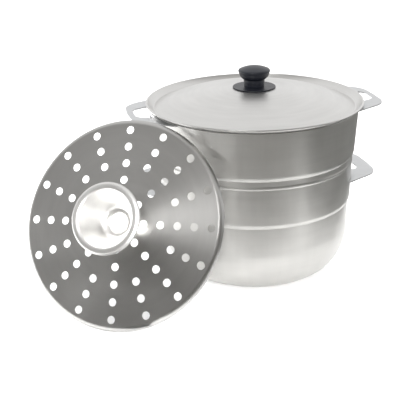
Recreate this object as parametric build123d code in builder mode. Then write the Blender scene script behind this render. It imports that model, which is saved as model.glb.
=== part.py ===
from build123d import *
import os
from math import asin, cos, degrees, radians, sin, tan

os.makedirs("parts", exist_ok=True)

# Steamer pot with lid and perforated steaming plate, in millimetres, +Z up.
# The origin is the centre of the pot's base, and the floor is z = 0.
# The pot, lid and knob are turned about Z. The plate and its funnel stand
# beside the pot and lean back on one of its ears.

# Clearances
rest_gap = 0.3
screw_clearance = 0.3
thread_clearance = 0.1

# Pot body, a spun shell given by its outer surface
pot_gauge = 1.6
pot_height = 280.0
rim_radius = 170.0
rim_round = 0.7
upper_band_inset = 7.6
middle_band_inset = 4.6
corner_top_inset = 0.8
corner_run = 55.0
corner_height = 80.0
lower_ring_height = 122.0
ring_step = 2.8
ring_rise = 4.4
ring_foot_fillet = 0.8
ring_shoulder_fillet = 13.0
upper_ring_height = 201.5
bead_depth = 0.7
bead_width = 6.0
bead_drop = 11.0

# Ears, flat pressings whose slot's metal is turned down the wall as a foot
ear_gauge = 2.2
ear_reach = 37.8
ear_crown = 3.0
ear_root_half_width = 96.0
ear_tip_half_width = 52.0
ear_tip_fillet = 42.0
ear_crown_fillet = 250.0
slot_half_width = 36.0
slot_tip_half_width = 21.0
slot_root_fillet = 4.0
slot_tip_fillet = 17.0
upper_slot_reach = 29.7
lower_slot_reach = 15.0
foot_drop_share = 0.85
foot_half_width = 29.0
foot_corner_fillet = 7.0
foot_swing_share = 1.2
ear_azimuth = 12.0
upper_ear_drop = 0.6
lower_ear_height = 158.0

# Rivets through the ears' feet
rivet_radius = 2.4
rivet_spread = 16.0
rivet_head_radius = 5.0
rivet_head_height = 2.0
rivet_tail_height = 1.2
rivet_tail_clearance = 0.1
rivet_level_share = 0.5

# Lid, a spun dome given by its underside
lid_gauge = 1.4
lid_overhang = 8.0
flare_angle = 41.0
valley_inset = 5.0
valley_fillet = 2.5
valley_reach = 2.0
lid_bead_radius = 1.9
dome_rise = 26.0
dome_pad_radius = 27.0

# Knob, its base disc, insert, screw and washer
base_disc_radius = 35.0
base_disc_gauge = 2.0
base_disc_round = 0.9
knob_foot_radius = 16.4
knob_foot_height = 5.4
seam_width = 0.9
seam_depth = 0.9
knob_neck_radius = 17.0
knob_neck_height = 12.0
knob_cap_radius = 24.8
knob_cap_level = 23.0
knob_cap_edge = 5.0
knob_height = 33.8
cove_bulge = 1.9
cap_edge_bulge = 1.2
insert_radius = 4.6
insert_length = 13.0
screw_radius = 2.5
screw_engagement = 9.0
screw_head_radius = 4.8
screw_head_height = 3.2
screw_head_fillet = 1.2
driver_slot_width = 1.2
driver_slot_depth = 1.4
washer_radius = 9.0
washer_gauge = 1.2

# Steaming plate, a spun shallow cone given by its upper surface, heights from its rim plane
plate_gauge = 1.2
plate_wall_gap = 0.8
lip_depth = 6.5
lip_width = 3.6
lip_fillet = 7.0
shoulder_height = 0.5
pad_height = 9.5
pad_radius = 27.0
pad_fillet = 60.0

# Steam holes in sixteen rays, every second ray carried on under the funnel
hole_radius = 6.2
ray_count = 16
outer_hole_inset = 17.3
hole_pitch = 26.3
long_ray_holes = 5
short_ray_holes = 3

# Funnel in the middle of the plate, a spun cup whose neck is clinched through it
funnel_gauge = 1.0
funnel_height = 50.0
funnel_rim_radius = 54.5
funnel_mouth_radius = 43.4
funnel_rim_drop = 6.0
funnel_rim_fillet = 5.0
funnel_throat_radius = 24.0
funnel_throat_fillet = 9.0
neck_radius = 15.5
neck_fillet = 2.0
clinch_width = 4.0

# How the plate stands against the pot
plate_lean = 29.7
plate_heading = 22.2
plate_sideways = -131.2
plate_turn = 4.7
edge_set_back = 0.5

# Places that follow from the sizes above
middle_band_radius = rim_radius - upper_band_inset
lower_band_radius = middle_band_radius - middle_band_inset
corner_top_radius = lower_band_radius - corner_top_inset
base_flat_radius = corner_top_radius - corner_run
upper_slope = (rim_radius - middle_band_radius - ring_step) / (pot_height - upper_ring_height - ring_rise)
middle_slope = (middle_band_radius - lower_band_radius - ring_step) / (
    upper_ring_height - lower_ring_height - ring_rise
)
bead_level = upper_ring_height - bead_drop
upper_ear_height = pot_height - upper_ear_drop - ear_gauge


def wall_radius(height):
    """Outer radius of the pot's upper or middle band at a height."""
    if height > upper_ring_height:
        return rim_radius - (pot_height - height) * upper_slope
    return middle_band_radius - (upper_ring_height - height) * middle_slope


def wall_slope(height):
    """Outward lean of the wall at a height, as a run over a rise."""
    return upper_slope if height > upper_ring_height else middle_slope


def draw_pot_outline():
    """Draw the pot's outer surface from the middle of the base to the rim."""
    bead_foot = (wall_radius(bead_level - bead_width / 2), bead_level - bead_width / 2)
    bead_head = (wall_radius(bead_level + bead_width / 2), bead_level + bead_width / 2)
    Line((0, 0), (base_flat_radius, 0))
    EllipticalCenterArc(
        (base_flat_radius, corner_height),
        corner_top_radius - base_flat_radius,
        corner_height,
        start_angle=270,
        arc_size=90,
    )
    FilletPolyline(
        (corner_top_radius, corner_height),
        (lower_band_radius, lower_ring_height),
        (lower_band_radius + ring_step, lower_ring_height + ring_rise),
        bead_foot,
        radius=(ring_foot_fillet, ring_shoulder_fillet),
    )
    ThreePointArc(bead_foot, (wall_radius(bead_level) + bead_depth, bead_level), bead_head)
    FilletPolyline(
        bead_head,
        (middle_band_radius, upper_ring_height),
        (middle_band_radius + ring_step, upper_ring_height + ring_rise),
        (rim_radius, pot_height),
        radius=(ring_foot_fillet, ring_shoulder_fillet),
    )


def rivet_planes(ear_height, azimuth, foot_drop):
    """Planes square to the wall on the outer face of an ear's foot, one for each rivet."""
    level = ear_height - foot_drop * rivet_level_share
    face_radius = wall_radius(level) + ear_gauge
    planes = []
    for side in (-1, 1):
        turn = radians(azimuth) + side * rivet_spread / face_radius
        planes.append(
            Plane(
                origin=(face_radius * cos(turn), face_radius * sin(turn), level),
                x_dir=(-sin(turn), cos(turn), 0),
                z_dir=(cos(turn), sin(turn), -wall_slope(level)),
            )
        )
    return planes


# Each ear's height, direction, slot reach and how far its foot comes down
upper_foot_drop = upper_slot_reach * foot_drop_share
lower_foot_drop = lower_slot_reach * foot_drop_share
ear_places = {
    "upper_ear_right": (upper_ear_height, ear_azimuth, upper_slot_reach, upper_foot_drop),
    "upper_ear_left": (upper_ear_height, ear_azimuth + 180, upper_slot_reach, upper_foot_drop),
    "lower_ear_right": (lower_ear_height, ear_azimuth, lower_slot_reach, lower_foot_drop),
    "lower_ear_left": (lower_ear_height, ear_azimuth + 180, lower_slot_reach, lower_foot_drop),
}

# Filled shape of the pot, shelled into the pot body and used to trim the ears to the wall
with BuildPart() as wall_form:
    with BuildSketch(Plane.XZ):
        with BuildLine():
            draw_pot_outline()
            Polyline((rim_radius, pot_height), (0, pot_height), (0, 0))
        make_face()
    revolve(axis=Axis.Z)

# Pot body
with BuildPart() as pot_body:
    add(wall_form.part)
    offset(amount=-pot_gauge, openings=pot_body.faces().sort_by(Axis.Z)[-1])
    fillet(pot_body.edges().filter_by(GeomType.CIRCLE).group_by(Axis.Z)[-1], radius=rim_round)
    for ear_height, azimuth, _, foot_drop in ear_places.values():
        with Locations(*rivet_planes(ear_height, azimuth, foot_drop)):
            Cylinder(rivet_radius, 2 * foot_drop, mode=Mode.SUBTRACT)

pot_body.part.label = "pot_body"
export_step(pot_body.part, "parts/pot_body.step")

# Rivet, drawn on the foot's outer face with its shank running inward
rivet_grip = ear_gauge + pot_gauge + rivet_tail_clearance
with BuildPart() as rivet:
    with BuildSketch(Plane.XZ):
        with BuildLine():
            TangentArc((0, rivet_head_height), (rivet_head_radius, 0), tangent=(1, 0))
            Polyline(
                (rivet_head_radius, 0),
                (rivet_radius, 0),
                (rivet_radius, -rivet_grip),
                (rivet_head_radius, -rivet_grip),
                (rivet_head_radius, -rivet_grip - rivet_tail_height),
                (0, -rivet_grip - rivet_tail_height),
                (0, rivet_head_height),
            )
        make_face()
    revolve(axis=Axis.Z)

# Ears, each a flat sheet with a foot down the wall, and their pairs of rivets
ears = {}
for ear_name, (ear_height, azimuth, slot_reach, foot_drop) in ear_places.items():
    ear_top = ear_height + ear_gauge
    foot_bottom = ear_height - foot_drop
    root_radius = wall_radius(ear_height)
    tip_radius = root_radius + ear_reach
    slot_root = wall_radius(ear_top) + ear_gauge
    slot_tip = root_radius + slot_reach
    foot_swing = foot_swing_share * degrees(asin(foot_half_width / root_radius))
    outward = Vector(1, 0, 0).rotate(Axis.Z, azimuth)
    across = Vector(0, 1, 0).rotate(Axis.Z, azimuth)
    swing_start = Vector(0, 1, 0).rotate(Axis.Z, azimuth - foot_swing)

    with BuildPart() as foot:
        with BuildSketch(Plane(origin=(0, 0, 0), x_dir=swing_start.rotate(Axis.Z, -90), z_dir=-swing_start)):
            with BuildLine():
                Polyline(
                    (wall_radius(foot_bottom), foot_bottom),
                    (wall_radius(foot_bottom) + ear_gauge, foot_bottom),
                    (wall_radius(ear_top) + ear_gauge, ear_top),
                    (wall_radius(ear_top), ear_top),
                    close=True,
                )
            make_face()
        revolve(axis=Axis.Z, revolution_arc=2 * foot_swing)
        with BuildSketch(Plane(origin=outward * tip_radius, x_dir=across, z_dir=outward)):
            with BuildLine():
                FilletPolyline(
                    (-foot_half_width, ear_top),
                    (-foot_half_width, foot_bottom),
                    (foot_half_width, foot_bottom),
                    (foot_half_width, ear_top),
                    radius=foot_corner_fillet,
                )
                Line((foot_half_width, ear_top), (-foot_half_width, ear_top))
            make_face()
        extrude(amount=-tip_radius, mode=Mode.INTERSECT)

    with BuildPart() as ear:
        with BuildSketch(Plane(origin=(0, 0, ear_height), x_dir=outward, z_dir=(0, 0, 1))):
            with BuildLine():
                FilletPolyline(
                    (root_radius - ear_reach, -ear_root_half_width),
                    (tip_radius, -ear_tip_half_width),
                    (tip_radius + ear_crown, 0),
                    (tip_radius, ear_tip_half_width),
                    (root_radius - ear_reach, ear_root_half_width),
                    radius=(ear_tip_fillet, ear_crown_fillet, ear_tip_fillet),
                )
                Line(
                    (root_radius - ear_reach, ear_root_half_width),
                    (root_radius - ear_reach, -ear_root_half_width),
                )
            make_face()
            with BuildLine():
                FilletPolyline(
                    (slot_root, -slot_half_width),
                    (slot_tip, -slot_tip_half_width),
                    (slot_tip, slot_tip_half_width),
                    (slot_root, slot_half_width),
                    radius=(slot_root_fillet, slot_tip_fillet, slot_tip_fillet, slot_root_fillet),
                    close=True,
                )
            make_face(mode=Mode.SUBTRACT)
        extrude(amount=ear_gauge)
        add(wall_form.part, mode=Mode.SUBTRACT)
        add(foot.part)
        with Locations(*rivet_planes(ear_height, azimuth, foot_drop)):
            Cylinder(rivet_radius, 2 * foot_drop, mode=Mode.SUBTRACT)

    with BuildPart() as rivet_pair:
        with Locations(*rivet_planes(ear_height, azimuth, foot_drop)):
            add(rivet.part)

    ear.part.label = ear_name
    export_step(ear.part, f"parts/{ear_name}.step")
    rivet_pair.part.label = f"{ear_name}_rivets"
    export_step(rivet_pair.part, f"parts/{ear_name}_rivets.step")
    ears[ear_name] = ear.part

# Lid, whose flare rests on the rounded edge of the pot's rim
valley_radius = rim_radius - valley_inset
rim_middle = rim_radius - pot_gauge / 2
seat_level = pot_height - rim_round + (rim_round + rest_gap) / cos(radians(flare_angle))
valley_level = seat_level - (rim_middle - valley_radius) * tan(radians(flare_angle))
lid_edge_radius = rim_radius + lid_overhang - lid_bead_radius
lid_edge_level = seat_level + (lid_edge_radius - rim_middle) * tan(radians(flare_angle))
pad_level = pot_height + dome_rise
screw_hole_radius = screw_radius + screw_clearance
with BuildPart() as lid:
    with BuildSketch(Plane.XZ) as lid_section:
        with BuildLine():
            Line((screw_hole_radius, pad_level), (dome_pad_radius, pad_level))
            TangentArc((dome_pad_radius, pad_level), (valley_radius, valley_level), tangent=(1, 0))
            Line((valley_radius, valley_level), (lid_edge_radius, lid_edge_level))
            offset(amount=lid_gauge, side=Side.LEFT)
        make_face()
        valley_points = lid_section.vertices().filter_by_position(
            Axis.X, valley_radius - valley_reach, valley_radius + valley_reach
        )
        fillet(valley_points.sort_by(Axis.Y)[0], radius=valley_fillet + lid_gauge)
        fillet(valley_points.sort_by(Axis.Y)[-1], radius=valley_fillet)
        with Locations((lid_edge_radius, lid_edge_level)):
            Circle(lid_bead_radius)
    revolve(axis=Axis.Z)

lid.part.label = "lid"
export_step(lid.part, "parts/lid.step")

# Base disc of the knob
disc_level = pad_level + lid_gauge
with BuildPart() as knob_base:
    with BuildSketch(Plane.XY.offset(disc_level)):
        Circle(base_disc_radius)
        Circle(screw_hole_radius, mode=Mode.SUBTRACT)
    extrude(amount=base_disc_gauge)
    fillet(
        knob_base.edges().filter_by(GeomType.CIRCLE).sort_by(SortBy.RADIUS)[-2:],
        radius=base_disc_round,
    )

knob_base.part.label = "knob_base"
export_step(knob_base.part, "parts/knob_base.step")

# Knob
knob_level = disc_level + base_disc_gauge
seam_level = knob_level + knob_foot_height
cap_level = knob_level + knob_cap_level
knob_top = knob_level + knob_height
with BuildPart() as knob:
    with BuildSketch(Plane.XZ):
        with BuildLine():
            TangentArc((0, knob_top), (knob_cap_radius, cap_level + knob_cap_edge), tangent=(1, 0))
            SagittaArc(
                (knob_cap_radius, cap_level + knob_cap_edge),
                (knob_cap_radius, cap_level),
                cap_edge_bulge,
            )
            SagittaArc(
                (knob_cap_radius, cap_level),
                (knob_neck_radius, knob_level + knob_neck_height),
                -cove_bulge,
            )
            Polyline(
                (knob_neck_radius, knob_level + knob_neck_height),
                (knob_neck_radius, seam_level + seam_width),
                (knob_foot_radius - seam_depth, seam_level + seam_width),
                (knob_foot_radius - seam_depth, seam_level),
                (knob_foot_radius, seam_level),
                (knob_foot_radius, knob_level),
                (insert_radius, knob_level),
                (insert_radius, knob_level + insert_length),
                (0, knob_level + insert_length),
                (0, knob_top),
            )
        make_face()
    revolve(axis=Axis.Z)

knob.part.label = "knob"
export_step(knob.part, "parts/knob.step")

# Threaded insert in the knob
with BuildPart() as knob_insert:
    with BuildSketch(Plane.XY.offset(knob_level)):
        Circle(insert_radius)
        Circle(screw_radius + thread_clearance, mode=Mode.SUBTRACT)
    extrude(amount=insert_length)

knob_insert.part.label = "knob_insert"
export_step(knob_insert.part, "parts/knob_insert.step")

# Washer under the lid's pad
with BuildPart() as knob_washer:
    with BuildSketch(Plane.XY.offset(pad_level - washer_gauge)):
        Circle(washer_radius)
        Circle(screw_hole_radius, mode=Mode.SUBTRACT)
    extrude(amount=washer_gauge)

knob_washer.part.label = "knob_washer"
export_step(knob_washer.part, "parts/knob_washer.step")

# Screw, up through the washer, lid and base disc into the insert
screw_seat = pad_level - washer_gauge
with BuildPart() as knob_screw:
    with BuildSketch(Plane.XY.offset(screw_seat)):
        Circle(screw_head_radius)
    extrude(amount=-screw_head_height)
    fillet(knob_screw.edges().group_by(Axis.Z)[0], radius=screw_head_fillet)
    with BuildSketch(Plane.XY.offset(screw_seat)):
        Circle(screw_radius)
    extrude(amount=knob_level - screw_seat + screw_engagement)
    with BuildSketch(Plane.XY.offset(screw_seat - screw_head_height)):
        Rectangle(2 * screw_head_radius, driver_slot_width)
    extrude(amount=driver_slot_depth, mode=Mode.SUBTRACT)

knob_screw.part.label = "knob_screw"
export_step(knob_screw.part, "parts/knob_screw.step")

# Where the plate stands, its back edge on the left upper ear and its lip on the floor
plate_radius = middle_band_radius + ring_step - pot_gauge - plate_wall_gap
lean_angle = radians(plate_lean)
facing = Vector(
    -sin(radians(plate_heading)) * cos(lean_angle),
    -cos(radians(plate_heading)) * cos(lean_angle),
    sin(lean_angle),
)
level_axis = Vector(cos(radians(plate_heading)), -sin(radians(plate_heading)), 0)
rising_axis = facing.cross(level_axis)
facing_plane = Plane(origin=(0, 0, 0), x_dir=level_axis, z_dir=facing)
ear_reach_out = facing_plane.to_local_coords(ears["upper_ear_left"]).bounding_box().max.Z
stand_off = ear_reach_out + rest_gap + lip_depth - edge_set_back
centre_height = plate_radius * cos(lean_angle) + lip_depth * sin(lean_angle)
rise_in_plane = (centre_height - stand_off * sin(lean_angle)) / cos(lean_angle)
plate_centre = facing * stand_off + level_axis * plate_sideways + rising_axis * rise_in_plane
plate_plane = Plane(origin=plate_centre, x_dir=level_axis, z_dir=facing)
plate_section = Plane(origin=plate_centre, x_dir=level_axis, z_dir=-rising_axis)
plate_axis = Axis(plate_centre, facing)

# Steaming plate
centre_hole_radius = neck_radius + neck_fillet
outer_hole_ring = plate_radius - outer_hole_inset
with BuildPart() as steamer_plate:
    with BuildSketch(plate_section):
        with BuildLine():
            FilletPolyline(
                (plate_radius, -lip_depth),
                (plate_radius - lip_width, shoulder_height),
                (pad_radius, pad_height),
                (centre_hole_radius, pad_height),
                radius=(lip_fillet, pad_fillet),
            )
            offset(amount=plate_gauge, side=Side.LEFT)
        make_face()
    revolve(axis=plate_axis)
    with BuildSketch(plate_plane):
        for place in range(long_ray_holes):
            holes = ray_count if place < short_ray_holes else ray_count // 2
            with PolarLocations(outer_hole_ring - place * hole_pitch, holes, start_angle=plate_turn):
                Circle(hole_radius)
    extrude(amount=2 * pad_height, both=True, mode=Mode.SUBTRACT)

steamer_plate.part.label = "steamer_plate"
export_step(steamer_plate.part, "parts/steamer_plate.step")

# Funnel, drawn from its rolled rim in and down to the clinch under the plate
funnel_foot = pad_height + funnel_gauge
funnel_top = pad_height + funnel_height
clinch_level = pad_height - plate_gauge - funnel_gauge
with BuildPart() as plate_funnel:
    with BuildSketch(plate_section):
        with BuildLine():
            FilletPolyline(
                (funnel_rim_radius, funnel_top - funnel_rim_drop),
                (funnel_rim_radius, funnel_top),
                (funnel_mouth_radius, funnel_top),
                (funnel_throat_radius, funnel_foot),
                (neck_radius, funnel_foot),
                (neck_radius, clinch_level),
                (neck_radius + clinch_width, clinch_level),
                radius=(
                    funnel_rim_fillet,
                    funnel_rim_fillet,
                    funnel_throat_fillet,
                    neck_fillet,
                    neck_fillet,
                ),
            )
            offset(amount=funnel_gauge, side=Side.LEFT)
        make_face()
    revolve(axis=plate_axis)

plate_funnel.part.label = "plate_funnel"
export_step(plate_funnel.part, "parts/plate_funnel.step")
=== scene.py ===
"""Looks of a two-tier steamer pot with its lid and its leaning steaming plate.

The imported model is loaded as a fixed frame. Each sub-assembly of the pot is a
class that holds its sizes, builds its meshes from them and dresses them with
a finish. Sizes are in millimetres until a mesh is made, where they turn into
metres.
"""

from __future__ import annotations

import logging
import math
from dataclasses import dataclass
from enum import Enum
from typing import Iterable, Sequence

import bmesh
import bpy
from mathutils import Matrix, Vector

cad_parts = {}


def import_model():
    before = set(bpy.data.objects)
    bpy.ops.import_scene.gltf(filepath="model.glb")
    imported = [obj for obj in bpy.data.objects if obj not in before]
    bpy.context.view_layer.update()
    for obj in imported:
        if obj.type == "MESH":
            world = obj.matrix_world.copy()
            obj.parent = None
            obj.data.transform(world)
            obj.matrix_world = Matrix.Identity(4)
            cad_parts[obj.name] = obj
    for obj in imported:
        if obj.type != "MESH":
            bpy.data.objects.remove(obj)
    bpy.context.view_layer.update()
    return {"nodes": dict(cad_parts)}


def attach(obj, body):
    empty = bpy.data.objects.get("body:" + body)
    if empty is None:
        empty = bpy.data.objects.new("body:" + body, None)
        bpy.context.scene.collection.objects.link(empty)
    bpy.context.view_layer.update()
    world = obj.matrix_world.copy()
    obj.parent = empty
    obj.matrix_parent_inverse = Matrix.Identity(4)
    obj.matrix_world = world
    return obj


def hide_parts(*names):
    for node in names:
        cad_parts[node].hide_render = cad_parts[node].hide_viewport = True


log = logging.getLogger("steamer_pot")

MM = 0.001
AXIS_LIMIT = 1e-6
# Distance from a fillet to the point that holds the flat beside it flat, in millimetres
HOLD = 0.25
# Step of the search for the place where an ear's side meets the wall, in millimetres
SEARCH_STEP = 0.05
# Anisotropic rotation, as a share of a turn, that spreads the glints across the tool marks
ACROSS_MARKS = 0.25

Point = tuple[float, float]
Corner = tuple[float, float, float]
Colour = tuple[float, float, float, float]


class Body(Enum):
    """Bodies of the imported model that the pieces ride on."""

    POT = "pot"
    LID = "lid_group"
    PLATE = "plate"


# Node and colour helpers


def linear(code: str) -> Colour:
    """Turn an sRGB hex code into linear light.

    Args:
        code: Six hex digits, such as "c8c9cb".

    Returns:
        Red, green, blue and alpha as linear shares.
    """
    shares = [int(code[i : i + 2], 16) / 255 for i in (0, 2, 4)]
    light = [s / 12.92 if s <= 0.04045 else ((s + 0.055) / 1.055) ** 2.4 for s in shares]
    return (light[0], light[1], light[2], 1.0)


def add_node(tree: bpy.types.NodeTree, kind: str, inputs: dict | None = None, **settings) -> bpy.types.Node:
    """Add one node with its settings, values and links.

    Args:
        tree: Tree that takes the node.
        kind: Node type name.
        inputs: Value or source socket by input name or number.
        **settings: Properties of the node itself.

    Returns:
        The new node.
    """
    node = tree.nodes.new(kind)
    for name, value in settings.items():
        setattr(node, name, value)
    for key, value in (inputs or {}).items():
        socket = node.inputs[key]
        if isinstance(value, bpy.types.NodeSocket):
            tree.links.new(value, socket)
        else:
            socket.default_value = value
    return node


def add_maths(tree: bpy.types.NodeTree, operation: str, *values) -> bpy.types.NodeSocket:
    """Add a Math node and return its result.

    Args:
        tree: Tree that takes the node.
        operation: Name of the Math operation.
        *values: Numbers or source sockets, in order.

    Returns:
        The node's output socket.
    """
    return add_node(tree, "ShaderNodeMath", dict(enumerate(values)), operation=operation).outputs[0]


def stretch(
    tree: bpy.types.NodeTree, where: bpy.types.NodeSocket, scales: tuple[float, float, float]
) -> bpy.types.NodeSocket:
    """Scale a place along its three axes and return the result.

    Args:
        tree: Tree that takes the node.
        where: Source of the place.
        scales: Scale along each axis.

    Returns:
        The node's output socket.
    """
    return add_node(tree, "ShaderNodeVectorMath", {0: where, 1: scales}, operation="MULTIPLY").outputs[0]


def add_noise(
    tree: bpy.types.NodeTree,
    where: bpy.types.NodeSocket,
    scale: float,
    detail: float,
    roughness: float = 0.5,
) -> bpy.types.NodeSocket:
    """Add a noise texture and return its grey value.

    Args:
        tree: Tree that takes the node.
        where: Source of the place.
        scale: Cells of noise for each unit of the place.
        detail: Octaves of finer noise.
        roughness: Strength of each octave beside the one before.

    Returns:
        The node's output socket.
    """
    values = {"Vector": where, "Scale": scale, "Detail": detail, "Roughness": roughness}
    return add_node(tree, "ShaderNodeTexNoise", values).outputs[0]


def vary(
    tree: bpy.types.NodeTree, noise: bpy.types.NodeSocket, level: float, swing: float
) -> bpy.types.NodeSocket:
    """Vary a value up and down with a noise.

    Args:
        tree: Tree that takes the node.
        noise: Grey value of the noise.
        level: Value in the middle.
        swing: Span of the value from end to end.

    Returns:
        The node's output socket.
    """
    return add_maths(tree, "MULTIPLY_ADD", noise, swing, level - swing / 2)


# Profile helpers, all in millimetres


def arc_points(centre: Point, radii: Point, start: float, sweep: float, steps: int) -> list[Corner]:
    """Points along an elliptical arc, with no fillet at any of them.

    Args:
        centre: Centre of the ellipse.
        radii: Its two half-axes.
        start: First angle in degrees.
        sweep: Angle covered in degrees.
        steps: Number of chords.

    Returns:
        The points, both ends included.
    """
    angles = [math.radians(start + sweep * i / steps) for i in range(steps + 1)]
    return [(centre[0] + radii[0] * math.cos(a), centre[1] + radii[1] * math.sin(a), 0.0) for a in angles]


def crown_points(start: Point, end: Point, steps: int) -> list[Corner]:
    """Points along the circular arc that leaves a level point and ends lower down.

    Args:
        start: Level point at the top.
        end: Lower point further out.
        steps: Number of chords.

    Returns:
        The points, both ends included.
    """
    run, drop = end[0] - start[0], start[1] - end[1]
    radius = (run * run + drop * drop) / (2 * drop)
    sweep = math.degrees(math.asin(run / radius))
    return arc_points((start[0], start[1] - radius), (radius, radius), 90, -sweep, steps)


def bulged_points(start: Point, end: Point, bulge: float, steps: int) -> list[Corner]:
    """Points along a shallow arc between two points.

    Args:
        start: First point.
        end: Last point.
        bulge: Height of the arc to the right of the line, negative to the left.
        steps: Number of chords.

    Returns:
        The points, both ends included.
    """
    run, rise = end[0] - start[0], end[1] - start[1]
    chord = math.hypot(run, rise)
    points = []
    for i in range(steps + 1):
        share = i / steps
        reach = 4 * share * (1 - share) * bulge / chord
        points.append((start[0] + run * share + rise * reach, start[1] + rise * share - run * reach, 0.0))
    return points


def rounded(corners: Sequence[Corner], turn_step: float = 9.0) -> list[Point]:
    """Round the corners of an open path.

    Args:
        corners: Across, up and fillet radius of each corner.
        turn_step: Greatest turn between two chords of a fillet, in degrees.

    Returns:
        Points of the rounded path.
    """
    path: list[Point] = []
    last = len(corners) - 1
    for i, (x, y, fillet) in enumerate(corners):
        here = Vector((x, y))
        if fillet <= 0 or i in (0, last):
            path.append((x, y))
            continue
        arriving = (here - Vector(corners[i - 1][:2])).normalized()
        leaving = (Vector(corners[i + 1][:2]) - here).normalized()
        turn = math.atan2(arriving.x * leaving.y - arriving.y * leaving.x, arriving.dot(leaving))
        side = math.copysign(1.0, turn)
        reach = fillet * math.tan(abs(turn) / 2)
        first = here - arriving * reach
        middle = first + Vector((-arriving.y, arriving.x)) * (side * fillet)
        steps = max(2, math.ceil(abs(math.degrees(turn)) / turn_step))
        before = (here - Vector(corners[i - 1][:2])).length
        after = (Vector(corners[i + 1][:2]) - here).length
        if before > reach + 4 * HOLD:
            held = first - arriving * HOLD
            path.append((held.x, held.y))
        for k in range(steps + 1):
            swing = Matrix.Rotation(turn * k / steps, 2)
            spot = middle + swing @ (first - middle)
            path.append((spot.x, spot.y))
        if after > reach + 4 * HOLD:
            held = here + leaving * (reach + HOLD)
            path.append((held.x, held.y))
    return path


def left_of(path: Sequence[Point], gauge: float) -> list[Point]:
    """Shift an open path to its left by a sheet's thickness.

    Args:
        path: Points of the path.
        gauge: Distance to shift it.

    Returns:
        The shifted path, point for point.
    """
    shifted = []
    for i, here in enumerate(path):
        spot = Vector(here)
        before = (spot - Vector(path[i - 1])).normalized() if i else None
        after = (Vector(path[i + 1]) - spot).normalized() if i + 1 < len(path) else None
        before, after = before or after, after or before
        across = Vector((-before.y - after.y, before.x + after.x)).normalized()
        reach = gauge / max(0.3, across.dot(Vector((-before.y, before.x))))
        shifted.append((spot.x + across.x * reach, spot.y + across.y * reach))
    return shifted


def sheet_loop(path: Sequence[Point], gauge: float, edge: float) -> list[Point]:
    """Close a path into the section of a sheet with softened edges.

    Args:
        path: One face of the sheet. The other lies to its left.
        gauge: Thickness of the sheet.
        edge: Radius that softens the edges that aren't on the axis.

    Returns:
        The section's points in order.
    """
    other = left_of(path, gauge)
    far_end = rounded([(*path[-2], 0), (*path[-1], edge), (*other[-1], edge), (*other[-2], 0)])[1:-1]
    if path[0][0] < AXIS_LIMIT:
        near_end = [(0.0, other[0][1]), path[0]]
    else:
        near_end = rounded([(*other[1], 0), (*other[0], edge), (*path[0], edge), (*path[1], 0)])[1:-1]
    return [*path[1:-1], *far_end, *reversed(other[1:-1]), *near_end]


# Mesh helpers


def finish_mesh(mesh: bpy.types.Mesh, sharp_angle: float = 35.0) -> None:
    """Merge doubles, face everything outwards and shade it smooth between sharp edges.

    Args:
        mesh: Mesh to clean.
        sharp_angle: Angle in degrees above which an edge stays sharp.
    """
    work = bmesh.new()
    work.from_mesh(mesh)
    bmesh.ops.remove_doubles(work, verts=work.verts, dist=1e-7)
    bmesh.ops.recalc_face_normals(work, faces=work.faces)
    work.to_mesh(mesh)
    work.free()
    mesh.shade_smooth()
    mesh.set_sharp_from_angle(angle=math.radians(sharp_angle))


def turned_mesh(name: str, loop: Sequence[Point], segments: int = 160) -> bpy.types.Mesh:
    """Turn a closed section about Z.

    Args:
        name: Name of the mesh.
        loop: Section as distance from the axis and height, in millimetres.
        segments: Number of steps round the axis.

    Returns:
        The closed mesh, in metres.
    """
    verts: list[tuple[float, float, float]] = []
    rings: list[list[int]] = []
    for radius, height in loop:
        start = len(verts)
        if radius < AXIS_LIMIT:
            verts.append((0.0, 0.0, height * MM))
            rings.append([start])
            continue
        for k in range(segments):
            angle = math.tau * k / segments
            verts.append((radius * MM * math.cos(angle), radius * MM * math.sin(angle), height * MM))
        rings.append(list(range(start, start + segments)))
    faces: list[tuple[int, ...]] = []
    for i, ring in enumerate(rings):
        following = rings[(i + 1) % len(rings)]
        if len(ring) == 1 and len(following) == 1:
            continue
        for k in range(segments):
            nearer = (k + 1) % segments
            face = [ring[k % len(ring)], ring[nearer % len(ring)]]
            face += [following[nearer % len(following)], following[k % len(following)]]
            faces.append(tuple(dict.fromkeys(face)))
    mesh = bpy.data.meshes.new(name)
    mesh.from_pydata(verts, [], faces)
    finish_mesh(mesh)
    return mesh


def mark_turning(mesh: bpy.types.Mesh) -> None:
    """Store where each point lies for the lathe marks, while the axis is still Z.

    The attribute "lathe" holds a distance along the section in millimetres and
    the direction round the axis. The attribute "around" holds the direction in
    which the tool passed.

    Args:
        mesh: Turned mesh about Z, in metres.
    """
    lathe = mesh.attributes.new("lathe", "FLOAT_VECTOR", "POINT")
    around = mesh.attributes.new("around", "FLOAT_VECTOR", "POINT")
    for i, vertex in enumerate(mesh.vertices):
        x, y, z = vertex.co
        angle = math.atan2(y, x)
        lathe.data[i].vector = ((math.hypot(x, y) - z) / MM, math.cos(angle), math.sin(angle))
        around.data[i].vector = (-math.sin(angle), math.cos(angle), 0.0)


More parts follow.
